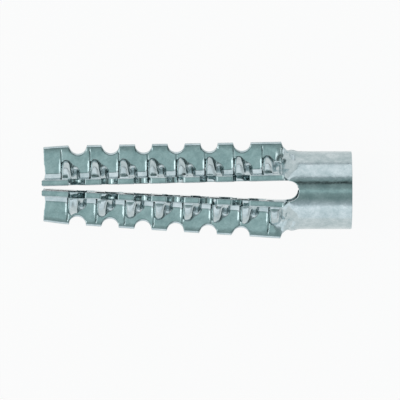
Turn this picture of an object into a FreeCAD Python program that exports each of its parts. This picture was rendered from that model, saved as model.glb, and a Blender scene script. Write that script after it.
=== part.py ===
import FreeCAD, Part
import math
import os

# Metal expansion plug, one piece of folded sheet steel, in millimetres.
# The origin is the centre of the tube's mouth. The tube and the two legs run along -X. The slots
# between the legs face +Z and -Z, and the legs lie on the +Y and the -Y side. A place along the
# plug is its distance from the mouth. A leg is built straight, and then turned in to the slot.

# Sheet and tube
sheet = 0.75
tube_od = 9.6
overall_length = 38.0
tube_length = 6.5
seam_gap = 0.16

# Slots between the legs, with their round ends, and the holes that relieve the start of the folds
slot_width = 2.5
relief_radius = 1.15
relief_at = 7.33

# Legs: start of the fin, start of the full folded section, and length of the tip's lead-in
fin_start = 8.5
leg_start = 9.3
lead_length = 3.1

# Folded section: gap inside the fin, reach of the flanges, their lean to the slot, and the fold
fold_gap = 0.16
flange_reach = 3.9
flange_lean = 11.5
fold_bevel = 0.3

# Punched holes on the fold lines and on the edges of the flanges
hole_radius = 1.05
hole_pitch = 4.03
first_hole_at = 13.5
hole_count = 6

# Lanced ribs across the creases: a high round thumb beside its slit, and a lower flat block
rib_pitch = 3.53
rib_thumb = 1.15
rib_length = 2.1
rib_reach = 2.2
rib_block_reach = 1.15
rib_bevel = 0.6
rib_wall = 0.3
rib_clear = 0.7

# Each leg: its side, how far it is turned in, its outer fold at the start, at the lead-in and at the
# tip before the turn, and the places of its first slits on the front and the back
legs = [
    {"side": 1, "turn": 1.32, "fold": (5.95, 6.09, 5.96), "front": 35.6, "back": 36.48},
    {"side": -1, "turn": 2.75, "fold": (5.9, 5.43, 5.22), "front": 34.8, "back": 33.83},
]

tube_radius = tube_od / 2
bore_radius = tube_radius - sheet
slot_end_at = tube_length + slot_width / 2
lead_at = overall_length - lead_length
leg_end_at = overall_length + sheet
fin_face = fold_gap / 2 + sheet
edge = slot_width / 2
flange_width = sheet / math.cos(math.radians(flange_lean))
corner = edge + flange_width
lean = math.tan(math.radians(flange_lean))
foot = corner + lean * (flange_reach - fin_face)
crease_angle = 46
fold_angle = 87
fold_spread = 4
facets = 3
clear = 0.05
tiny = 1e-7
far_out = tube_od


def vec(x, y, z):
    return FreeCAD.Vector(x, y, z)


def on_circle(radius, degrees, centre=(0, 0)):
    """Point (y, z) on a circle across the plug, with the angle from +Z towards the leg."""
    angle = math.radians(degrees)
    return (centre[0] + radius * math.sin(angle), centre[1] + radius * math.cos(angle))


def spread(first, last, count):
    """Evenly spaced numbers from the first to the last, both included."""
    return [first + (last - first) * i / count for i in range(count + 1)]


def spread_points(first, last, count):
    """Evenly spaced points on a line, both ends included."""
    return list(zip(spread(first[0], last[0], count), spread(first[1], last[1], count)))


def fold_at(leg, at):
    """Distance of a straight leg's outer fold from the middle plane of the slot."""
    start, lead, tip = leg["fold"]
    if at < lead_at:
        return start + (lead - start) * (at - leg_start) / (lead_at - leg_start)
    return lead + (tip - lead) * (at - lead_at) / lead_length


def turned_in(shape, leg):
    """A straight leg's shape, turned in about the start of its flange's edge."""
    shape.rotate(vec(-leg_start, leg["side"] * edge, 0), vec(0, 0, 1), leg["side"] * leg["turn"])
    return shape


def halves(section):
    """A front half outline and its mirror image behind the fin's plane, as one ring of points."""
    outer, inner = section
    points = outer + [(y, -z) for y, z in reversed(outer)]
    return points + [(y, -z) for y, z in inner] + list(reversed(inner))


def bend_points(count):
    """Points round the inside of the crease, from the flange's inner face to the fin's inner face."""
    turns = spread(270 - flange_lean, 180, count)
    return [on_circle(sheet, turn, (foot, fin_face)) for turn in turns]


def leg_outer(fold):
    """Front half of the outer outline: flange, fin, and the bevel of the fold."""
    return [(corner, flange_reach), (foot, fin_face), (fold - fold_bevel, fin_face), (fold, fin_face - fold_bevel)]


def leg_edges(side, at, fold):
    """Closed outline of the folded section, with a round bend inside each crease."""
    start, middle, end = bend_points(2)
    inner = [(edge, flange_reach), start, end, (fold - sheet, fold_gap / 2)]
    points = halves((leg_outer(fold), inner))
    mids = [None] * len(points)
    mids[len(points) // 2 + 1] = (middle[0], -middle[1])
    mids[-3] = middle
    mids = [mid and vec(-at, side * mid[0], mid[1]) for mid in mids]
    return closed_edges(across(side, at, points), mids)


def closed_edges(places, mids):
    """Edges round a closed outline, each an arc where it has a mid point and a line where it has none."""
    ring = places + places[:1]
    edges = []
    for start, end, mid in zip(ring, ring[1:], mids):
        curve = Part.LineSegment(start, end) if mid is None else Part.Arc(start, mid, end)
        edges.append(curve.toShape())
    return edges


def side_faces(near, far):
    """Faces between two edges of neighbouring outlines: drawn along a line, or flat, as two if twisted."""
    starts = near.Vertexes[0].Point, near.Vertexes[-1].Point
    ends = far.Vertexes[0].Point, far.Vertexes[-1].Point
    shift = ends[0] - starts[0]
    if (ends[1] - starts[1] - shift).Length < tiny:
        return [near.extrude(shift)]
    twist = (starts[1] - starts[0]).cross(ends[0] - starts[0]).dot(ends[1] - starts[0])
    rings = [[starts[0], starts[1], ends[1], ends[0]]]
    if abs(twist) > tiny:
        rings = [[starts[0], starts[1], ends[0]], [starts[1], ends[1], ends[0]]]
    return [Part.Face(Part.makePolygon(ring + ring[:1])) for ring in rings]


def skin_solid(outlines):
    """Solid between closed outlines that have as many edges each."""
    faces = [Part.Face(Part.Wire(outlines[0])), Part.Face(Part.Wire(outlines[-1]))]
    for near, far in zip(outlines, outlines[1:]):
        for near_edge, far_edge in zip(near, far):
            faces += side_faces(near_edge, far_edge)
    shell = Part.makeShell(faces)
    shell.sewShape()
    solid = Part.makeSolid(shell)
    if solid.Volume < 0:
        solid.reverse()
    return solid


def across(side, at, points):
    """Places in one plane across the plug, from their distances outwards and to the front."""
    return [vec(-at, side * y, z) for y, z in points]


def prism(side, start, end, points):
    """Solid with a straight-edged section, between two places along the plug."""
    places = across(side, start, points)
    return Part.Face(Part.makePolygon(places + places[:1])).extrude(vec(start - end, 0, 0))


def ring_points(radius, angles):
    """Points round the tube's ring, from the side of the slot over two angles to the end of the fold."""
    first = math.degrees(math.asin(slot_width / 2 / radius))
    turns = spread(first, angles[0], facets)[:-1] + spread(angles[0], angles[1], facets)
    return [on_circle(radius, turn) for turn in turns + [fold_angle]]


def make_shoulder(leg):
    """The stretch that draws the ring's side in to the folded section, in narrow flat facets."""
    side = leg["side"]
    flange_top, flange_foot, bevel_start, bevel_end = leg_outer(fold_at(leg, leg_start))
    outer = spread_points(flange_top, flange_foot, facets)[:-1]
    outer += spread_points(flange_foot, bevel_start, facets) + [bevel_end]
    bend = bend_points(facets)
    inner = [(edge, flange_reach)] + bend + [(fold_at(leg, leg_start) - sheet, fold_gap / 2)]
    ring_outer = ring_points(tube_radius, (crease_angle, fold_angle - fold_spread))
    first = math.degrees(math.asin(slot_width / 2 / bore_radius))
    inner_turns = [first] + spread(crease_angle - 8, crease_angle + 8, facets) + [fold_angle]
    ring_inner = [on_circle(bore_radius, turn) for turn in inner_turns]
    ring = across(side, slot_end_at, halves((ring_outer, ring_inner)))
    leg_end = across(side, leg_start, halves((outer, inner)))
    outlines = [closed_edges(places, [None] * len(places)) for places in (ring, leg_end)]
    outlines[1] = [turned_in(line, leg) for line in outlines[1]]
    return skin_solid(outlines)


def make_fin_root(leg):
    """The outer part of the fin's fold beside the tube, before the leg is turned in."""
    fold = fold_at(leg, leg_start)
    inner = fold - sheet
    low = tube_radius - sheet / 2
    half = [(low, fin_face), (fold - fold_bevel, fin_face), (fold, fin_face - fold_bevel)]
    back = [(y, -z) for y, z in reversed(half)]
    gap = [(low, -fold_gap / 2), (inner, -fold_gap / 2), (inner, fold_gap / 2), (low, fold_gap / 2)]
    return prism(leg["side"], leg_start, fin_start, half + back + gap)


def make_straight_leg(leg):
    """A leg's fin and flanges, before it is turned in."""
    return skin_solid([leg_edges(leg["side"], at, fold_at(leg, at)) for at in (leg_start, lead_at, leg_end_at)])


def rib_circle():
    """Centre and radius of a thumb's round back, which meets the fin at a right angle."""
    rise = flange_reach - fin_face
    back = (rise * rise - rib_reach * rib_reach) / (2 * rib_reach)
    return corner - back, back + rib_reach


def arc_prism(side, start, end, points, mid):
    """Solid whose section's first edge is an arc through the mid point, between two places."""
    places = across(side, start, points)
    mids = across(side, start, [mid]) + [None] * (len(points) - 1)
    return Part.Face(Part.Wire(closed_edges(places, mids))).extrude(vec(start - end, 0, 0))


def make_rib(side, slit_at, front):
    """A rib from its slit towards the tube: a thumb with a slanted end, and a lower block."""
    centre, radius = rib_circle()
    top = math.degrees(math.atan2(corner - centre, flange_reach - fin_face))
    mid = on_circle(radius, (top + 90) / 2, (centre, fin_face))
    deep = fin_face - sheet / 2
    root = foot - sheet / 2
    inside = corner - flange_width / 2
    thumb_foot = corner + rib_reach
    block_foot = corner + rib_block_reach
    thumb = [(corner, flange_reach), (thumb_foot, fin_face), (thumb_foot, deep), (root, deep), (inside, flange_reach)]
    block = [(corner, flange_reach), (block_foot, fin_face), (block_foot, deep), (root, deep), (inside, flange_reach)]
    thumb_end = slit_at - rib_thumb
    rib_end = slit_at - rib_length
    high = arc_prism(side, slit_at, thumb_end, [(y, front * z) for y, z in thumb], (mid[0], front * mid[1]))
    low = prism(side, thumb_end, rib_end, [(y, front * z) for y, z in block])
    slant = [
        vec(-thumb_end - rib_bevel, side * thumb_foot, 0),
        vec(-thumb_end, side * thumb_foot, 0),
        vec(-thumb_end, side * (thumb_foot - rib_bevel), 0),
    ]
    wedge = Part.Face(Part.makePolygon(slant + slant[:1])).extrude(vec(0, 0, front * far_out))
    return [high.cut(wedge), low]


def make_hollow(side, slit_at, front):
    """The space under a thumb, open to its slit and to the inside of the leg."""
    centre, radius = rib_circle()
    inside = radius - sheet
    low = edge - clear
    rise = math.sqrt(inside ** 2 - (low - centre) ** 2)
    top = math.degrees(math.atan2(low - centre, rise))
    mid = on_circle(inside, (top + 90) / 2, (centre, fin_face))
    points = [(low, fin_face + rise), (centre + inside, fin_face), (centre + inside, 0), (low, 0)]
    end = slit_at - rib_thumb + rib_wall
    return arc_prism(side, slit_at, end, [(y, front * z) for y, z in points], (mid[0], front * mid[1]))


def make_scallop(leg, at):
    """A punched hole on the fold line, which becomes a round scallop in the fin's edge."""
    centre = vec(-at, leg["side"] * fold_at(leg, at), -far_out)
    return Part.makeCylinder(hole_radius, 2 * far_out, centre, vec(0, 0, 1))


def make_notch(side, at, front):
    """A punched hole on the slot's line, which becomes a round notch in a flange's free edge."""
    depth = flange_width + lean * hole_radius + 2 * clear
    centre = vec(-at, side * (edge - clear), front * flange_reach)
    return Part.makeCylinder(hole_radius, depth, centre, vec(0, side, 0))


def rib_places(first):
    """Places of one row of slits, from the tip towards the tube."""
    count = int((first - leg_start - rib_clear) / rib_pitch) + 1
    return [first - i * rib_pitch for i in range(count)]


def finished_leg(leg):
    """A leg with its ribs raised, its holes and hollows cut, turned in and joined to its shoulder."""
    side = leg["side"]
    slits = [(at, 1) for at in rib_places(leg["front"])]
    slits += [(at, -1) for at in rib_places(leg["back"])]
    holes = [first_hole_at + i * hole_pitch for i in range(hole_count)]
    ribs = [piece for at, front in slits for piece in make_rib(side, at, front)]
    raised = make_straight_leg(leg).fuse([make_fin_root(leg)] + ribs)
    cuts = [make_hollow(side, at, front) for at, front in slits]
    cuts += [make_scallop(leg, at) for at in holes]
    cuts += [make_notch(side, at, front) for at in holes for front in (1, -1)]
    return turned_in(raised.cut(cuts), leg)


def make_tube():
    """The tube with its bore, the seam along its back, and the round ends of both slots."""
    start = vec(-slot_end_at, 0, 0)
    ring = Part.makeCylinder(tube_radius, slot_end_at, start, vec(1, 0, 0))
    bore = Part.makeCylinder(bore_radius, slot_end_at, start, vec(1, 0, 0))
    slot_ends = Part.makeCylinder(slot_width / 2, 2 * far_out, start - vec(0, 0, far_out), vec(0, 0, 1))
    seam = Part.makeBox(slot_end_at, seam_gap, far_out, start - vec(0, seam_gap / 2, far_out))
    return ring.cut([bore, slot_ends, seam])


def make_relief(leg):
    """A punched hole beside the start of a fold, in the side of the tube."""
    centre = vec(-relief_at, leg["side"] * bore_radius / 2, 0)
    return Part.makeCylinder(relief_radius, far_out, centre, vec(0, leg["side"], 0))


def make_plug():
    """The whole folded sheet as one solid, with the tips cut square."""
    pieces = [make_shoulder(leg) for leg in legs] + [finished_leg(leg) for leg in legs]
    joined = make_tube().fuse(pieces)
    beyond = Part.makeBox(far_out, 2 * far_out, 2 * far_out, vec(-overall_length - far_out, -far_out, -far_out))
    return joined.cut([make_relief(leg) for leg in legs] + [beyond])


os.makedirs("parts", exist_ok=True)
plug = make_plug()
print("solids", len(plug.Solids), "valid", plug.isValid(), "volume", round(plug.Volume, 2))
plug.Solids[0].exportStep("parts/expansion_plug.step")
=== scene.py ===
import math
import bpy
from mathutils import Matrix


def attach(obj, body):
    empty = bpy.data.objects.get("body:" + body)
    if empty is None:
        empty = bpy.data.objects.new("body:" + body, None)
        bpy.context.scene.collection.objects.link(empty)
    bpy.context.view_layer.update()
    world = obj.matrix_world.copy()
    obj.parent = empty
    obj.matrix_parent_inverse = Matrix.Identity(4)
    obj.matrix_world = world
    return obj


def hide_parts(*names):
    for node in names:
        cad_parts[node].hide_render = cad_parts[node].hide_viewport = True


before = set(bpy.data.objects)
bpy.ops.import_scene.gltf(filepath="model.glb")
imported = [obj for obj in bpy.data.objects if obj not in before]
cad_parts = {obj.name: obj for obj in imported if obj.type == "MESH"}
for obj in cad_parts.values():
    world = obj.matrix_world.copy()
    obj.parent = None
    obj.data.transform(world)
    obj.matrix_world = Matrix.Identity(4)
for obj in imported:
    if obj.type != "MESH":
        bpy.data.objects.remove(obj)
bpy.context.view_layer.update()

from types import SimpleNamespace

import bmesh
import bpy
import numpy as np
from bpy.props import FloatProperty, FloatVectorProperty, IntProperty, PointerProperty
from mathutils import Vector

# One folded sheet of zinc plated steel, which is the whole plug. Its shape is worked out in
# millimetres, and the mesh is written in metres. A place along the plug is its distance from the
# tube's mouth. Each leg has a front quarter of the sheet and a back one, with front 1 and -1.

bl_info = {
    "name": "Metal Expansion Plug",
    "version": (1, 0, 0),
    "blender": (4, 5, 0),
    "location": "View3D > Sidebar > Plug",
    "description": "Builds a folded sheet metal expansion plug and a plain stage for it",
    "category": "Add Mesh",
}

MM = 0.001
NODE = "expansion_plug"

# The decimals of a millimetre that a setting keeps, what places at a limit may miss it by, in
# millimetres, and the distance in metres at which points are welded
DECIMALS = 4
TINY = 1e-6
WELD_DISTANCE = 1e-6

# Each leg: its side, its turn to the slot in degrees, its outer fold at the start, at the lead-in and
# at the tip, the width of its thumbs, and its slits nearest the tip on the front and on the back
LEGS = (
    {"side": 1, "turn": 1.32, "fold": (5.95, 6.09, 5.96), "thumb": 1.12, "slits": {1: 35.6, -1: 36.48}},
    {"side": -1, "turn": 2.75, "fold": (5.9, 5.43, 5.22), "thumb": 1.2, "slits": {1: 34.8, -1: 33.83}},
)

# Stretches of the folded section from the flange's edge to the fold's line: the flange, the crease,
# the fin under a thumb, the slit's overrun, the rest of the fin, the fold's corner and its flat. Each
# has the shares along it at which a row of points lies.
FLANGE, CREASE, FIN, OVERRUN, WEB, CORNER, FLAT = range(7)
STRETCHES = (
    (0, 0.0008, 0.004, 0.012, 0.028, 0.06, 0.13, 0.24, 0.38, 0.52, 0.66, 0.76, 0.8, 0.85, 0.95),
    (0, 0.35, 0.7),
    (0, 0.22, 0.44, 0.64, 0.8, 0.92, 0.985),
    (0, 0.06),
    (0,),
    (0, 0.25, 0.5, 0.75),
    (0, 0.5, 1),
)
STRETCH = np.repeat(np.arange(len(STRETCHES)), [len(shares) for shares in STRETCHES])
SHARE = np.concatenate(STRETCHES)
ROWS = np.arange(len(SHARE))
SLIT_FIRST_ROW = 5
SLIT_LAST_ROW = np.flatnonzero(STRETCH == WEB)[0]

# The flange stands nearly upright down to its knee, a share of its rows, and slopes out from there. It
# spreads a little on the way to the knee.
FLANGE_KNEE = 0.8
FLANGE_SPREAD = 0.05

# Columns of points: along a rib, on a slit's plain lip and on its thumb's, at the ends in rounds of
# the end, at a hole and at the shoulder. Elsewhere they are even. None is nearer the one before it
# than the least step, and other columns keep clear of the lips and the ends.
RIB_COLUMNS = np.array(
    [0.2, 0.34, 0.5, 0.68, 0.86, 1.02, 1.16, 1.28, 1.4, 1.54, 1.74, 1.92, 2.02, 2.12, 2.24]
)
PLAIN_LIP_COLUMNS = np.array([0, 0.05, 0.11, 0.18, 0.28])
THUMB_LIP_COLUMNS = np.array([0, 0.04])
END_COLUMNS = np.array([0, 0.5, 1, 1.8])
HOLE_COLUMNS = 11
SHOULDER_COLUMNS = 26
SHOULDER_BEFORE = 0.4
SHOULDER_PAST = 0.2
EVEN_STEP = 0.6
LEAST_STEP = 0.045
PLAIN_LIP_CLEAR = 0.34
THUMB_LIP_CLEAR = 0.08
END_CLEAR = 2

# Along a rib from its slit: where the thumb and the block end, the space before the next slit, where
# the rib rises, fades, turns from thumb to block, and moves its knee out, and its foot's reach
THUMB_END = 0.98
BLOCK_END = 1.9
RIB_SPACE = 0.1
LAST_RIB_CLEAR = 0.7
RIB_RISE = (-0.2, 0.22)
RIB_FADE = (BLOCK_END, 2.26)
THUMB_TO_BLOCK = (THUMB_END, 1.32)
KNEE_OUT = (1.2, 1.45)
REACH_PLACES = (0, 0.12, 0.28, 0.5, 0.8, 1.1, 1.3, 1.9, 2.1, 2.3, 2.9)
REACH_SHARES = (0.76, 0.91, 0.98, 1, 0.95, 0.8, 0.72, 0.6, 0.5, 0.4, 0.76)

# Across a rib: the share of its reach that the block's knee has at first, and the most of the foot's
# reach, the powers that round its two lines, the share of the side over which it rises from the
# flange's edge and by how much less at a notch, the depth at which a notch counts in full, and where
# the inner side goes back to the plain section
KNEE_FIRST = 0.7
KNEE_MOST = 0.85
BLOCK_ROUND_OUT = 0.8
BLOCK_ROUND_DOWN = 1.15
EDGE_SPAN = 0.12
NOTCH_SPAN = 0.1
NOTCH_FULL = 0.3
INNER_FADE = (0.55, 1)

# Near the fold: the depth and the corner's round of a scallop, and least distances between rows
SCALLOP_LEAST = 0.05
SCALLOP_ROUND = 0.28
THUMB_CLEAR = 0.12
OVERRUN_LEAST = 0.05
OVERRUN_CLEAR = 0.06
WEB_LEAST = 0.03

# The tips: how far from the end they are brought square and bowed, and the bow's share at the fold
TIP_SQUARE = 2
BOW_LENGTH = 2.5
BOW_AT_FOLD = 0.3

# The shoulder, from the slot's end: where it starts and ends at the flange's edge, and the power of its
# bulge. It starts sooner at the crease and later at the fold, and it ends later at the crease and
# soonest at the fold. Each change has the shares of the sheet's width over which it comes.
SHOULDER_START = -0.05
SHOULDER_END = 0.7
SHOULDER_BULGE = 1.3
SOONER_START = 1.2
SOONER_SHARES = (0, 0.5)
LATER_START = 1.3
LATER_SHARES = (0.6, 0.92)
LATER_END = 1.3
CREASE_SHARES = (0, 0.42)
FOLD_SHARES = (0.4, 1)

# The flare beside the relief hole: its width along the tube, and its rows
FLARE_WIDTH = 0.7
FLARE_ROWS = (0.55, 1)

# A slit's lips: the width of the raised one, how many times the distance from a lip counts in its
# rounding, and what is added to that, so that the lip keeps a blunt edge
LIP_WIDTH = 0.24
LIP_SHARPER = 2
LIP_BLUNT = 0.03

# The stage, in metres and watts: each lamp's place, size and power, and what they are aimed at
FLOOR_HALF = 1.2
FLOOR_GAP = 0.02 * MM
OWN_LIGHT = 0.92
LAMP_TARGET = (-0.019, 0, 0)
LAMPS = {
    "lamp_far_side": ((-0.02, 0.5, 0.25), (1.4, 0.44), 1.25),
    "lamp_near_side": ((-0.02, -0.5, 0.21), (1.4, 0.46), 1.0),
    "lamp_tip_high": ((-0.27, 0, 0.43), (0.3, 0.12), 0.17),
    "lamp_mouth_side": ((0.46, 0, 0.14), (0.4, 0.16), 0.12),
    "lamp_tip_side": ((-0.48, 0.02, 0.26), (0.34, 0.44), 0.22),
}

# The room's brightness by direction, from -1 to 1: across the plug, and along it as a factor. Past a
# limit across the plug its tint is bluer.
ROOM_ACROSS = (
    (-1, 0.6), (-0.72, 0.75), (-0.42, 0.38), (-0.16, 0.42), (-0.08, 0.68), (0.03, 0.68),
    (0.14, 0.42), (0.33, 0.34), (0.37, 0.05), (0.45, 0.05), (0.49, 0.5), (0.7, 0.5),
)
ROOM_ALONG = ((0.14, 1), (0.32, 0.25), (0.6, 0.3), (0.75, 0.8))
ROOM_TINT = (0.76, 1, 0.99)
ROOM_SIDE_TINT = (0.95, 1, 1.06)
ROOM_SIDE = 0.6

# The camera: the picture's width in pixels and its scale, the sensor and the distance that give that
# scale, and the place in millimetres that it looks down on, tilted a little
PICTURE_WIDTH = 400
PIXELS_PER_MM = 8.13
SENSOR_WIDTH = 36
VIEW_DISTANCE = 0.7
VIEW_CENTRE = (-18.635, -1.218, 0)
VIEW_TILT = math.radians(2)
VIEW_END = 10

# Sockets of a Mix node that mixes colours
MIX_FACTOR, MIX_FIRST, MIX_SECOND, MIX_RESULT = 0, 6, 7, 2


def length_property(name, description, millimetres):
    """A length that a user can change. It is given in millimetres and held in metres."""
    return FloatProperty(
        name=name, description=description, default=millimetres * MM, min=0, unit="LENGTH", precision=5
    )


def angle_property(name, description, degrees):
    """An angle that a user can change. It is given in degrees and held in radians."""
    return FloatProperty(name=name, description=description, default=math.radians(degrees), subtype="ANGLE")


def colour_property(name, description, colour):
    """A colour that a user can change."""
    return FloatVectorProperty(
        name=name, description=description, default=colour, min=0, max=1, size=3, subtype="COLOR"
    )


class PlugSheetSettings(bpy.types.PropertyGroup):
    """Sizes of the folded sheet."""

    sheet: length_property("Sheet", "Thickness of the sheet", 0.75)
    tube_radius: length_property("Tube radius", "Outer radius of the tube", 4.8)
    length: length_property("Length", "From the mouth to the tips", 38)
    slot_width: length_property("Slot width", "Width of the slots between the legs", 2.5)
    slot_end: length_property("Slot end", "Place of the centre of the slot's round end", 7.75)
    seam: length_property("Seam", "Gap of the seam along the back", 0.16)
    leg_start: length_property("Leg start", "Place where the folded section is full", 9.3)
    fin_start: length_property("Fin start", "Place where the fold is full", 8.5)
    lead_length: length_property("Lead-in", "Length of the tip's lead-in", 3.1)
    fold_gap: length_property("Fold gap", "Gap inside the fin", 0.16)
    fold_radius: length_property("Fold radius", "Round of the fold's corners", 0.32)
    flange_reach: length_property("Flange reach", "From the middle to the flange's edge", 3.9)
    flange_lean: angle_property("Flange lean", "Lean of the whole flange towards the slot", 11.5)
    foot_lean: angle_property("Foot lean", "Slope of the flange's foot from upright", 52)
    crease_radius: length_property("Crease radius", "Round of the outer side of the crease", 0.2)
    hole_radius: length_property("Hole radius", "Radius of the punched holes", 1.05)
    hole_pitch: length_property("Hole pitch", "Distance between punched holes", 4.03)
    first_hole: length_property("First hole", "Place of the hole nearest the tube", 13.5)
    hole_count: IntProperty(name="Holes", description="Holes in each row", default=6, min=1)
    relief_radius: length_property("Relief radius", "Radius of the hole at the start of a fold", 1.15)
    relief_at: length_property("Relief place", "Place of the hole at the start of a fold", 7.33)
    relief_flare: length_property("Relief flare", "Flare of the tube at that hole", 0.34)
    rib_pitch: length_property("Rib pitch", "Distance between ribs", 3.53)
    rib_reach: length_property("Thumb reach", "Most reach of a rib's thumb over the fin", 2.35)
    block_rise: length_property("Block rise", "Rise of the fin beside a rib's block", 0.16)
    block_reach: length_property("Block reach", "Reach of the knee of a rib's block", 1.15)
    slit_gap: length_property("Slit gap", "Width of a slit", 0.12)
    slit_overrun: length_property("Slit overrun", "Length of a slit past its thumb", 0.5)
    slit_burr: length_property("Slit burr", "Height of the lip on a slit's plain side", 0.1)
    fold_drawn: length_property("Fold drawn", "From the slot's end to where the fold is flat", 0.25)
    scallop_shift: length_property("Scallop shift", "How much nearer the mouth scallops lie", 0.12)
    notch_shift: length_property("Notch shift", "How much nearer the tips notches lie", 0.1)
    tip_bow: length_property("Tip bow", "Hollow of the tips' ends at the crease", 0.35)
    edge_round: length_property("Edge round", "Round of the cut edges", 0.11)
    end_round: length_property("End round", "Round of the mouth and the tips", 0.05)


class PlugFinishSettings(bpy.types.PropertyGroup):
    """Colours of the zinc and the floor."""

    zinc: colour_property("Zinc", "Colour of the zinc", (0.56, 0.64, 0.655))
    dull: colour_property("Dull zinc", "Colour of its duller patches", (0.38, 0.47, 0.485))
    floor: colour_property("Floor", "Colour of the floor", (0.9, 0.9, 0.9))


def plain_sizes(settings):
    """The settings as plain values, with lengths in millimetres and angles in radians."""
    sizes = SimpleNamespace()
    for name in settings.__annotations__:
        value = getattr(settings, name)
        if settings.bl_rna.properties[name].unit == "LENGTH":
            value = round(value / MM, DECIMALS)
        setattr(sizes, name, value)
    return sizes


def smooth(value, low, high):
    """Smooth step: 0 up to low, 1 from high, and a cubic between them."""
    share = np.clip((value - low) / (high - low), 0, 1)
    return share * share * (3 - 2 * share)


def hole_depth(at, centre, radius):
    """Depth of a round hole's edge at each place: half the chord of its circle, and 0 outside it."""
    return np.sqrt(np.maximum(radius ** 2 - (at - centre) ** 2, 0))


def slit_places(p, leg, front):
    """Places of one row of slits, from the tip towards the tube."""
    first = leg["slits"][front]
    count = int((first - p.leg_start - LAST_RIB_CLEAR) / p.rib_pitch) + 1
    return first - p.rib_pitch * np.arange(count)


def hole_places(p):
    """Places of one row of punched holes."""
    return p.first_hole + p.hole_pitch * np.arange(p.hole_count)


def row_depth(p, at, shift):
    """Depth of the edge of a whole row of punched holes at each place."""
    return np.max([hole_depth(at, place + shift, p.hole_radius) for place in hole_places(p)], axis=0)


def scallop_depth(p, at):
    """Depth of the scallops in a fold. Before the fin's start it is the depth of the hole there, and it
    stays at its most from the hole's middle to the mouth."""
    middle = p.fin_start - p.hole_radius
    relief = hole_depth(np.maximum(at, middle), middle, p.hole_radius)
    return np.where(at < p.fin_start, relief, row_depth(p, at, -p.scallop_shift))


def column_places(p, leg):
    """Places of the columns of points, closer at holes, ribs, cut ends and the shoulder. Columns at a
    hole follow the sine of an even angle, and each slit has columns on either lip."""
    turns = np.sin(np.radians(np.linspace(-90, 90, HOLE_COLUMNS)))
    shifts = (-p.scallop_shift, p.notch_shift)
    holes = [at + shift + p.hole_radius * turns for at in hole_places(p) for shift in shifts]
    holes += [p.relief_at + p.relief_radius * turns, p.slot_end - p.slot_width / 2 * (1 - (turns + 1) / 2)]
    slits = np.concatenate([slit_places(p, leg, front) for front in (1, -1)])
    even = np.arange(EVEN_STEP, p.length, EVEN_STEP)
    shoulder = np.linspace(p.slot_end - SHOULDER_BEFORE, p.leg_start + SHOULDER_PAST, SHOULDER_COLUMNS)
    places = np.sort(np.concatenate([even, shoulder] + holes + [at - RIB_COLUMNS for at in slits]))
    kept = places[np.diff(places, prepend=-1) > LEAST_STEP]
    gaps = kept[:, None] - slits[None, :]
    low = -p.slit_gap / 2 - THUMB_LIP_CLEAR
    high = p.slit_gap / 2 + PLAIN_LIP_CLEAR
    near = ((gaps > low + TINY) & (gaps < high)).any(axis=1)
    end = END_CLEAR * p.end_round
    kept = kept[~near & (kept > end) & (kept < p.length - end)]
    rounding = END_COLUMNS * p.end_round
    lips = np.concatenate([p.slit_gap / 2 + PLAIN_LIP_COLUMNS, -p.slit_gap / 2 - THUMB_LIP_COLUMNS])
    return np.sort(np.concatenate([kept, rounding, p.length - rounding] + [at + lips for at in slits]))


def section_sizes(p):
    """Sizes of the folded section that follow from the settings: the fin's outer face, the inner edge,
    outer corner and foot of the flange, and the centre of the crease's arc."""
    face = p.fold_gap / 2 + p.sheet
    edge = p.slot_width / 2
    corner = edge + p.sheet / math.cos(p.flange_lean)
    foot = corner + math.tan(p.flange_lean) * (p.flange_reach - face)
    centre = (foot + p.crease_radius * math.tan(math.pi / 4 - p.foot_lean / 2), face + p.crease_radius)
    return SimpleNamespace(face=face, edge=edge, corner=corner, foot=foot, centre=centre)


def past_slit(p, leg, front, at):
    """How far past its slit each place lies, stretched so that each leg's thumbs end at the same number."""
    past = slit_places(p, leg, front)[:, None] - at[None, :]
    past = np.where((past > 0) & (past < p.rib_pitch - RIB_SPACE), past, 0).sum(axis=0)
    return np.interp(past, [0, leg["thumb"], BLOCK_END, p.rib_pitch], [0, THUMB_END, BLOCK_END, p.rib_pitch])


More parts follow.
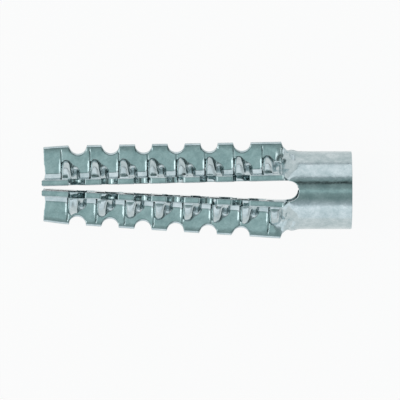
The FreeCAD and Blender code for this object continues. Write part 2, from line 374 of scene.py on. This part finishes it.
def leg_section(p, leg, front, at, inner):
    """Points (y, z) of a leg's outer or inner side, one column for each place, and the foot of the rib.
    The flange is an upright line and a sloping one at its foot, the crease an arc, the fin a line, and
    the fold a quarter circle and a flat. At a hole the flange starts lower and the fin ends sooner by
    the depth of the hole's edge."""
    size = section_sizes(p)
    slope = p.foot_lean
    scallop = scallop_depth(p, at)
    fold = np.interp(at, [p.leg_start, p.length - p.lead_length, p.length], leg["fold"])
    rounding = np.where(scallop > SCALLOP_LEAST, SCALLOP_ROUND, p.fold_radius)
    limit = fold - np.maximum(p.sheet, scallop + rounding)
    reach = np.interp(past_slit(p, leg, front, at), REACH_PLACES, REACH_SHARES) * p.rib_reach
    thumb = np.minimum(size.corner + reach, limit - THUMB_CLEAR)
    least = thumb + OVERRUN_LEAST
    overrun = size.corner + p.rib_reach + p.slit_overrun
    overrun = np.clip(overrun, least, np.maximum(limit - OVERRUN_CLEAR, least))
    fold_end = np.where(scallop < p.sheet, 0, p.fold_gap / 2)

    top = p.flange_reach - row_depth(p, at, p.notch_shift)
    start = np.full_like(at, size.edge if inner else size.corner)
    radius = p.crease_radius + p.sheet * inner
    centre_y, centre_z = size.centre
    first = math.radians(270) - slope
    bend = [(centre_y + radius * math.sin(t), centre_z + radius * math.cos(t)) for t in (first, math.pi)]
    tip = fold - np.maximum(p.sheet, scallop) if inner else fold - scallop
    web = limit if inner else fold - scallop - rounding
    web = np.minimum(tip, np.maximum(web, overrun + WEB_LEAST))
    level = np.full_like(at, size.face - p.sheet * inner)
    knee = np.maximum(level / 2 if inner else size.face - rounding, fold_end)
    stops = [(start, top)] + [(np.full_like(at, y), np.full_like(at, z)) for y, z in bend]
    stops += [(thumb, level), (overrun, level), (web, level), (tip, knee), (tip, fold_end)]
    ends = np.array(stops).transpose(1, 2, 0)
    y, z = ends[:, :, STRETCH] + SHARE * (ends[:, :, STRETCH + 1] - ends[:, :, STRETCH])

    flange = STRETCH == FLANGE
    down = np.minimum(SHARE[flange] / FLANGE_KNEE, 1)
    out = np.maximum(SHARE[flange] - FLANGE_KNEE, 0) / (1 - FLANGE_KNEE)
    across = size.foot - size.corner - FLANGE_SPREAD + p.sheet * inner
    low = size.face + (across - p.sheet * inner / math.cos(slope)) / math.tan(slope)
    bend_y, bend_z = bend[0]
    start, top = start[:, None], top[:, None]
    y[:, flange] = start + FLANGE_SPREAD * down + (bend_y - start - FLANGE_SPREAD) * out
    z[:, flange] = top + (low - top) * down + (bend_z - low) * out
    crease = STRETCH == CREASE
    turn = first + (math.pi - first) * SHARE[crease]
    y[:, crease] = centre_y + radius * np.sin(turn)
    z[:, crease] = centre_z + radius * np.cos(turn)
    if not inner:
        corner = STRETCH == CORNER
        turn = SHARE[corner] * math.pi / 2
        y[:, corner] = web[:, None] + (tip - web)[:, None] * np.sin(turn)
        z[:, corner] = size.face - (size.face - knee)[:, None] * (1 - np.cos(turn))
    return y, z, thumb


def row_lengths(p):
    """Length of sheet from the flange's edge to each row, at the start of a leg."""
    y, z, thumb = leg_section(p, LEGS[0], 1, np.array([p.leg_start]), 0)
    steps = np.hypot(np.diff(y[0]), np.diff(z[0]))
    return np.concatenate([[0], np.cumsum(steps)])


def raised(p, leg, front, at, y, z, thumb, inner):
    """The section with its ribs. Beside its slit a rib is a thumb, whose side follows an arc from the
    flange's edge to its foot on the fin. Farther on it is a block, a line to a low knee and a line to
    the foot. The foot's reach falls along the rib, and the mix of thumb, block and plain section changes
    smoothly. The plain side of a slit is raised by a bell curve that falls away from the slit."""
    size = section_sizes(p)
    lengths = row_lengths(p)
    before_fin = STRETCH < FIN
    flat = lengths[STRETCH == FIN][0] - size.centre[0]
    share = np.where(before_fin, lengths, flat + y) / (flat + thumb)[:, None]
    share = np.where(STRETCH > FIN, 1, np.clip(share, 0, 1))
    past = past_slit(p, leg, front, at)
    weight = (smooth(past, *RIB_RISE) * (past > 0) * (1 - smooth(past, *RIB_FADE)))[:, None]
    notched = smooth(row_depth(p, at, p.notch_shift), 0, NOTCH_FULL)[:, None]
    weight = weight * smooth(share, 0, EDGE_SPAN - NOTCH_SPAN * notched) * (share < 1)
    if inner:
        weight = weight * (1 - smooth(share, *INNER_FADE))

    low = size.face - p.sheet * inner
    corner = size.edge if inner else size.corner
    reach = (thumb - size.corner)[:, None]
    rise = p.flange_reach - low
    back = (rise ** 2 - reach ** 2) / (2 * reach)
    first = np.arctan2(back, rise)
    turn = first + (math.pi / 2 - first) * share
    thumb_y = corner - back + (back + reach) * np.sin(turn)
    thumb_z = low + (back + reach) * np.cos(turn)

    knee = p.block_reach * (KNEE_FIRST + (1 - KNEE_FIRST) * smooth(past, *KNEE_OUT))[:, None]
    knee = np.minimum(knee, reach * KNEE_MOST)
    bent = (flat + size.corner + knee) / (flat + size.corner + reach)
    down = np.clip(share / bent, 0, 1)
    out = np.clip((share - bent) / (1 - bent), 0, 1)
    block_y = corner + knee * down ** BLOCK_ROUND_OUT + (reach - knee) * out
    block_z = p.flange_reach - (rise - p.block_rise) * down ** BLOCK_ROUND_DOWN
    block_z = block_z - p.block_rise * out ** BLOCK_ROUND_OUT
    block = smooth(past, *THUMB_TO_BLOCK)[:, None]
    rib_y = thumb_y + block * (block_y - thumb_y)
    rib_z = thumb_z + block * (block_z - thumb_z)

    before = at[None, :] - slit_places(p, leg, front)[:, None]
    lip = (np.exp(-(before / LIP_WIDTH) ** 2) * (before > 0)).sum(axis=0)[:, None]
    lip = lip * (STRETCH > FLANGE) * (STRETCH < WEB) * (1 - inner) * p.slit_burr
    y = y + lip * before_fin
    z = z + lip
    return y + weight * (rib_y - y), z + weight * (rib_z - z)


def turned_in(p, leg, at, y, z):
    """Points of a leg turned in about the start of its flange's edge. The tip is brought square by a
    smooth step, and its end is bowed in, most at the crease."""
    turn = math.radians(leg["turn"])
    along = np.broadcast_to((p.leg_start - at)[:, None], y.shape)
    out = y - p.slot_width / 2
    x = along * math.cos(turn) - out * math.sin(turn) - p.leg_start
    new_y = along * math.sin(turn) + out * math.cos(turn) + p.slot_width / 2
    x = x + (-p.length - x[-1:]) * smooth(at, p.length - TIP_SQUARE, p.length)[:, None]
    last_crease = np.flatnonzero(STRETCH == CREASE)[-1]
    mid_corner = np.flatnonzero((STRETCH == CORNER) & (SHARE == 0.5))[0]
    bow = np.interp(ROWS, [0, last_crease, mid_corner, ROWS[-1]], [0, 1, BOW_AT_FOLD, BOW_AT_FOLD])
    x = x + bow * p.tip_bow * smooth(at, p.length - BOW_LENGTH, p.length)[:, None]
    return np.stack([x, new_y, z], axis=2)


def ring_points(p, front, at, inner, share):
    """Points of the tube: a circle, with the angle in even share of the sheet's width, between the edge
    of the slot or seam and the fold's line or the edge of the hole that relieves the fold. Beside that
    hole the radius swells by a bell curve."""
    radius = p.tube_radius - p.sheet * inner
    half_slot = p.slot_width / 2
    slot = np.where(at < p.slot_end, hole_depth(at, p.slot_end, half_slot), half_slot)
    slot = np.maximum(slot, p.seam / 2 if front < 0 else 0)
    relief = hole_depth(at, p.relief_at, p.relief_radius)
    low = np.arcsin(slot / radius)[:, None]
    high = math.pi / 2 - np.arcsin(relief / radius)[:, None]
    turn = low + (high - low) * share
    x = np.broadcast_to(-at[:, None], turn.shape)
    bell = np.exp(-(((at - p.relief_at) / FLARE_WIDTH) ** 2))[:, None]
    radius = radius + p.relief_flare * bell * smooth(share, *FLARE_ROWS)
    return np.stack([x, radius * np.sin(turn), radius * np.cos(turn)], axis=2)


def drawn_in(p, at, share):
    """How far each point is drawn from the tube to the folded leg, from 0 to 1: a share between the row's
    own start and end, raised to a power. Rows at the crease start first and end last, and the fold is
    flat soonest."""
    start = p.slot_end + SHOULDER_START - SOONER_START * smooth(share, *SOONER_SHARES)
    start = start + LATER_START * smooth(share, *LATER_SHARES)
    end = p.slot_end + SHOULDER_END + LATER_END * smooth(share, *CREASE_SHARES)
    end = end - (SHOULDER_END + LATER_END - p.fold_drawn) * smooth(share, *FOLD_SHARES)
    return np.clip((at[:, None] - start) / (end - start), 0, 1) ** SHOULDER_BULGE


def slit_distance(p, leg, front, places):
    """Distance of each place from the edge of the nearest slit, below 0 inside it."""
    slits = slit_places(p, leg, front)
    return np.abs(places[:, None] - slits[None, :]).min(axis=1) - p.slit_gap / 2


def edge_shrink(p, at, lengths, crown, fold, slit_rows, slit_at):
    """How much the two sides come together at each point: 0 inside the sheet, and by a quarter circle
    towards a cut edge. The edges are the flange's edge or the slot or seam, the fold's line where it is
    cut, the mouth and the tip, and the lips of the slits."""
    to_edge = np.where(crown[:, None], p.length, lengths[None, :])
    to_fold = np.where(fold[:, None], p.length, (lengths[-1] - lengths)[None, :])
    to_end = (np.minimum(at, p.length - at) * p.edge_round / p.end_round)[:, None]
    to_slit = LIP_SHARPER * np.maximum(slit_at, 0)[:, None] + LIP_BLUNT
    to_slit = np.where(slit_rows[None, :], to_slit, p.length)
    near = np.minimum(np.minimum(to_edge, to_fold), np.minimum(to_end, to_slit))
    left = p.edge_round - np.minimum(near, p.edge_round)
    return (p.edge_round - np.sqrt(p.edge_round ** 2 - left ** 2)) / (p.sheet / 2)


def quarter_sheet(p, leg, front, at):
    """Outer and inner points of a quarter of the sheet, the cells that are there, and whether each column
    is joined to the other front or back quarter at the tube's crown and at the fold."""
    lengths = row_lengths(p)
    share = (lengths / lengths[-1])[None, :]
    drawn = drawn_in(p, at, share)[:, :, None]
    sides = []
    for inner in (0, 1):
        y, z, thumb = leg_section(p, leg, front, at, inner)
        y, z = raised(p, leg, front, at, y, z, thumb, inner)
        ring = ring_points(p, front, at, inner, share)
        sides.append(ring + drawn * (turned_in(p, leg, at, y, z) - ring))

    slit_rows = (ROWS >= SLIT_FIRST_ROW) & (ROWS <= SLIT_LAST_ROW)
    in_gap = slit_distance(p, leg, front, (at[:-1] + at[1:]) / 2) < 0
    seen = ~(in_gap[:, None] & slit_rows[None, :-1] & slit_rows[None, 1:])
    crown = (at < p.slot_end - p.slot_width / 2 + TINY) & (front > 0)
    past_relief = np.abs(at - p.relief_at) > p.relief_radius - TINY
    fold = np.where(at < p.slot_end + p.fold_drawn, past_relief, scallop_depth(p, at) < p.sheet)
    shrink = edge_shrink(p, at, lengths, crown, fold, slit_rows, slit_distance(p, leg, front, at))
    centre = (sides[0] + sides[1]) / 2
    outer, inner = [centre + (side - centre) * (1 - shrink)[:, :, None] for side in sides]
    return outer, inner, seen, crown, fold


def quads(ids, other, seen):
    """Four-cornered faces of the seen cells on both sides of the sheet."""
    i, j = np.nonzero(seen)
    return [np.stack([g[i, j], g[i + 1, j], g[i + 1, j + 1], g[i, j + 1]], axis=1) for g in (ids, other)]


def rims(ids, other, seen, crown, fold):
    """Faces between the two sides wherever a seen cell has no seen neighbour and isn't joined there."""
    padded = np.pad(seen, 1)
    i, j = np.nonzero(padded[:-1, 1:-1] != padded[1:, 1:-1])
    ends = np.stack([ids[i, j], ids[i, j + 1], other[i, j + 1], other[i, j]], axis=1)
    along = padded[1:-1, :-1] != padded[1:-1, 1:]
    along[:, 0] &= ~(crown[:-1] & crown[1:])
    along[:, -1] &= ~(fold[:-1] & fold[1:])
    i, j = np.nonzero(along)
    return [ends, np.stack([ids[i, j], ids[i + 1, j], other[i + 1, j], other[i, j]], axis=1)]


def sheet_mesh(p):
    """Mesh of the whole sheet from its four quarters, welded where they are joined."""
    points = []
    faces = []
    count = 0
    for leg in LEGS:
        at = column_places(p, leg)
        for front in (1, -1):
            outer, inner, seen, crown, fold = quarter_sheet(p, leg, front, at)
            size = seen.shape[0] + 1, seen.shape[1] + 1
            ids = count + np.arange(size[0] * size[1]).reshape(size)
            other = ids + size[0] * size[1]
            count += 2 * size[0] * size[1]
            mirror = np.array([1, leg["side"], front])
            points += [(outer * mirror).reshape(-1, 3), (inner * mirror).reshape(-1, 3)]
            faces += quads(ids, other, seen) + rims(ids, other, seen, crown, fold)
    mesh = bpy.data.meshes.new("plug_sheet")
    mesh.from_pydata(np.concatenate(points) * MM, [], np.concatenate(faces).tolist())
    work = bmesh.new()
    work.from_mesh(mesh)
    bmesh.ops.remove_doubles(work, verts=work.verts, dist=WELD_DISTANCE)
    bmesh.ops.dissolve_degenerate(work, edges=work.edges, dist=WELD_DISTANCE)
    bmesh.ops.recalc_face_normals(work, faces=work.faces)
    closed = all(len(edge.link_faces) == 2 for edge in work.edges)
    work.to_mesh(mesh)
    work.free()
    if not closed:
        raise RuntimeError("the sheet's surface isn't closed")
    mesh.shade_smooth()
    return mesh


def start_nodes(owner):
    """Turn on the nodes of a material or a world, and give them with the function that links them."""
    owner.use_nodes = True
    return owner.node_tree.nodes, owner.node_tree.links.new


def zinc_material(look):
    """Zinc plate: duller patches from a rough noise, a finer noise in its gloss, and a grain and a
    broader unevenness in its surface."""
    material = bpy.data.materials.new("zinc_plate")
    nodes, link = start_nodes(material)
    nodes.clear()
    out = nodes.new("ShaderNodeOutputMaterial")
    shader = nodes.new("ShaderNodeBsdfPrincipled")
    shader.inputs["Metallic"].default_value = 1
    link(shader.outputs["BSDF"], out.inputs["Surface"])
    place = nodes.new("ShaderNodeTexCoord")

    def noise(scale, detail, rough):
        """Noise on the object's own coordinates."""
        node = nodes.new("ShaderNodeTexNoise")
        node.inputs["Scale"].default_value = scale
        node.inputs["Detail"].default_value = detail
        node.inputs["Roughness"].default_value = rough
        link(place.outputs["Object"], node.inputs["Vector"])
        return node.outputs["Fac"]

    def ranged(value, low, high, to_low, to_high):
        """A value taken from one range to another."""
        node = nodes.new("ShaderNodeMapRange")
        for name, number in zip(("From Min", "From Max", "To Min", "To Max"), (low, high, to_low, to_high)):
            node.inputs[name].default_value = number
        link(value, node.inputs["Value"])
        return node.outputs["Result"]

    def bump(height, strength, millimetres):
        """Unevenness of the surface, by a height."""
        node = nodes.new("ShaderNodeBump")
        node.inputs["Strength"].default_value = strength
        node.inputs["Distance"].default_value = millimetres * MM
        link(height, node.inputs["Height"])
        return node

    patches = noise(scale=800, detail=6, rough=0.75)
    mix = nodes.new("ShaderNodeMix")
    mix.data_type = "RGBA"
    link(ranged(patches, low=0.36, high=0.64, to_low=0, to_high=1), mix.inputs[MIX_FACTOR])
    mix.inputs[MIX_FIRST].default_value = (*look.zinc, 1)
    mix.inputs[MIX_SECOND].default_value = (*look.dull, 1)
    link(mix.outputs[MIX_RESULT], shader.inputs["Base Color"])
    gloss = noise(scale=1500, detail=4, rough=0.6)
    link(ranged(gloss, low=0.3, high=0.7, to_low=0.11, to_high=0.22), shader.inputs["Roughness"])
    grain = bump(noise(scale=2600, detail=3, rough=0.55), strength=0.35, millimetres=0.02)
    broad = bump(noise(scale=520, detail=2, rough=0.5), strength=0.3, millimetres=0.08)
    link(grain.outputs["Normal"], broad.inputs["Normal"])
    link(broad.outputs["Normal"], shader.inputs["Normal"])
    return material


class PLUG_OT_make_sheet(bpy.types.Operator):
    """Make the folded sheet, with its holes, slits and ribs"""

    bl_idname = "plug.make_sheet"
    bl_label = "Make Folded Sheet"

    def execute(self, context):
        p = plain_sizes(context.scene.plug_sheet_settings)
        piece = bpy.data.objects.new("plug_sheet", sheet_mesh(p))
        context.scene.collection.objects.link(piece)
        piece.data.materials.append(zinc_material(context.scene.plug_finish_settings))
        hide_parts(NODE)
        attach(piece, "root")
        return {"FINISHED"}


def floor_material(look):
    """Pale floor. Seen by the camera, in gloss or through glass, most of its light is its own, so that it
    looks white, and the rest is the room's, so that it keeps the plug's shadow."""
    material = bpy.data.materials.new("pale_floor")
    nodes, link = start_nodes(material)
    nodes.clear()
    out = nodes.new("ShaderNodeOutputMaterial")
    matte = nodes.new("ShaderNodeBsdfDiffuse")
    matte.inputs["Color"].default_value = (*look.floor, 1)
    own = nodes.new("ShaderNodeEmission")
    rays = nodes.new("ShaderNodeLightPath")

    def sum_node(operation, first):
        """A Math node with its first value linked."""
        node = nodes.new("ShaderNodeMath")
        node.operation = operation
        link(first, node.inputs[0])
        return node

    either = sum_node("MAXIMUM", rays.outputs["Is Camera Ray"])
    link(rays.outputs["Is Glossy Ray"], either.inputs[1])
    any_ray = sum_node("MAXIMUM", either.outputs[0])
    link(rays.outputs["Is Transmission Ray"], any_ray.inputs[1])
    share = sum_node("MULTIPLY", any_ray.outputs[0])
    share.inputs[1].default_value = OWN_LIGHT
    mix = nodes.new("ShaderNodeMixShader")
    for number, output in enumerate((share.outputs[0], matte.outputs[0], own.outputs[0])):
        link(output, mix.inputs[number])
    link(mix.outputs[0], out.inputs["Surface"])
    return material


def make_floor(scene):
    """Floor that the tube's rim and the tips rest on, a hair below them."""
    p = plain_sizes(scene.plug_sheet_settings)
    tube_bottom = Vector((-(p.slot_end - p.slot_width / 2), 0, -p.tube_radius)) * MM
    tip_bottom = Vector((-p.length, 0, -p.flange_reach)) * MM
    along = (tube_bottom - tip_bottom).normalized()
    side = Vector((0, 1, 0))
    middle = (tube_bottom + tip_bottom) / 2 - along.cross(side) * FLOOR_GAP
    signs = ((-1, -1), (1, -1), (1, 1), (-1, 1))
    corners = [middle + along * a * FLOOR_HALF + side * b * FLOOR_HALF for a, b in signs]
    mesh = bpy.data.meshes.new("floor")
    mesh.from_pydata(corners, [], [(0, 1, 2, 3)])
    mesh.materials.append(floor_material(scene.plug_finish_settings))
    floor = bpy.data.objects.new("floor", mesh)
    scene.collection.objects.link(floor)


def make_lamps(scene):
    """Soft lamps, each a rectangle aimed at the plug's middle."""
    for name, (place, size, watts) in LAMPS.items():
        lamp = bpy.data.lights.new(name, "AREA")
        lamp.shape = "RECTANGLE"
        lamp.size, lamp.size_y = size
        lamp.energy = watts
        holder = bpy.data.objects.new(name, lamp)
        holder.location = place
        holder.rotation_euler = (Vector(LAMP_TARGET) - Vector(place)).to_track_quat("-Z", "Y").to_euler()
        scene.collection.objects.link(holder)


def direction_ramp(nodes, link, value, stops):
    """Colour ramp over one part of a direction, from -1 to 1, with its stops as (place, colour)."""
    spread = nodes.new("ShaderNodeMapRange")
    spread.inputs["From Min"].default_value = -1
    link(value, spread.inputs["Value"])
    ramp = nodes.new("ShaderNodeValToRGB")
    link(spread.outputs["Result"], ramp.inputs["Fac"])
    elements = ramp.color_ramp.elements
    while len(elements) < len(stops):
        elements.new(0.5)
    for element, (place, colour) in zip(elements, stops):
        element.position = (place + 1) / 2
        element.color = (*colour, 1)
    return ramp.outputs["Color"]


def studio_world():
    """Grey-green room in bands across the plug: a bright one overhead, softer ones beside it, a narrow
    dark one that draws a line along the tube, and bluer sides. Along the plug it is darker on the
    mouth's side."""
    world = bpy.data.worlds.new("studio")
    nodes, link = start_nodes(world)
    place = nodes.new("ShaderNodeTexCoord")
    parts = nodes.new("ShaderNodeSeparateXYZ")
    link(place.outputs["Generated"], parts.inputs["Vector"])
    across = []
    for at, level in ROOM_ACROSS:
        tint = ROOM_SIDE_TINT if abs(at) > ROOM_SIDE else ROOM_TINT
        across.append((at, [part * level for part in tint]))
    along = [(at, [factor] * 3) for at, factor in ROOM_ALONG]
    background = nodes["Background"]
    link(direction_ramp(nodes, link, parts.outputs["Y"], across), background.inputs["Color"])
    link(direction_ramp(nodes, link, parts.outputs["X"], along), background.inputs["Strength"])
    return world


def make_camera(scene):
    """Camera that looks down on the plug, with its lens set for the picture's scale."""
    eye = bpy.data.cameras.new("camera")
    eye.sensor_width = SENSOR_WIDTH
    eye.lens = SENSOR_WIDTH * VIEW_DISTANCE / (PICTURE_WIDTH / PIXELS_PER_MM * MM)
    eye.clip_end = VIEW_END
    camera = bpy.data.objects.new("camera", eye)
    away = Vector((0, math.sin(VIEW_TILT), math.cos(VIEW_TILT)))
    camera.location = Vector(VIEW_CENTRE) * MM + away * VIEW_DISTANCE
    camera.rotation_euler = (-VIEW_TILT, 0, 0)
    scene.collection.objects.link(camera)
    scene.camera = camera
    scene.view_settings.view_transform = "Standard"


class PLUG_OT_make_stage(bpy.types.Operator):
    """Make the floor, the soft lamps, the world and the camera"""

    bl_idname = "plug.make_stage"
    bl_label = "Make Stage"

    def execute(self, context):
        make_floor(context.scene)
        context.scene.world = studio_world()
        make_lamps(context.scene)
        make_camera(context.scene)
        return {"FINISHED"}


class PLUG_PT_panel(bpy.types.Panel):
    """Sidebar panel with the plug's pieces and its sizes and colours."""

    bl_label = "Expansion Plug"
    bl_idname = "PLUG_PT_panel"
    bl_space_type = "VIEW_3D"
    bl_region_type = "UI"
    bl_category = "Plug"

    def draw(self, context):
        layout = self.layout
        layout.operator("plug.make_sheet")
        layout.operator("plug.make_stage")
        for settings in (context.scene.plug_sheet_settings, context.scene.plug_finish_settings):
            box = layout.box()
            for name in settings.__annotations__:
                box.prop(settings, name)


CLASSES = (PlugSheetSettings, PlugFinishSettings, PLUG_OT_make_sheet, PLUG_OT_make_stage, PLUG_PT_panel)


def register():
    """Register the classes, and give each scene the plug's settings."""
    for cls in CLASSES:
        bpy.utils.register_class(cls)
    bpy.types.Scene.plug_sheet_settings = PointerProperty(type=PlugSheetSettings)
    bpy.types.Scene.plug_finish_settings = PointerProperty(type=PlugFinishSettings)


def unregister():
    """Take the settings and the classes away again."""
    del bpy.types.Scene.plug_finish_settings
    del bpy.types.Scene.plug_sheet_settings
    for cls in reversed(CLASSES):
        bpy.utils.unregister_class(cls)


def main():
    """Make the sheet and the stage."""
    register()
    bpy.ops.plug.make_sheet()
    bpy.ops.plug.make_stage()


if __name__ == "__main__":
    main()
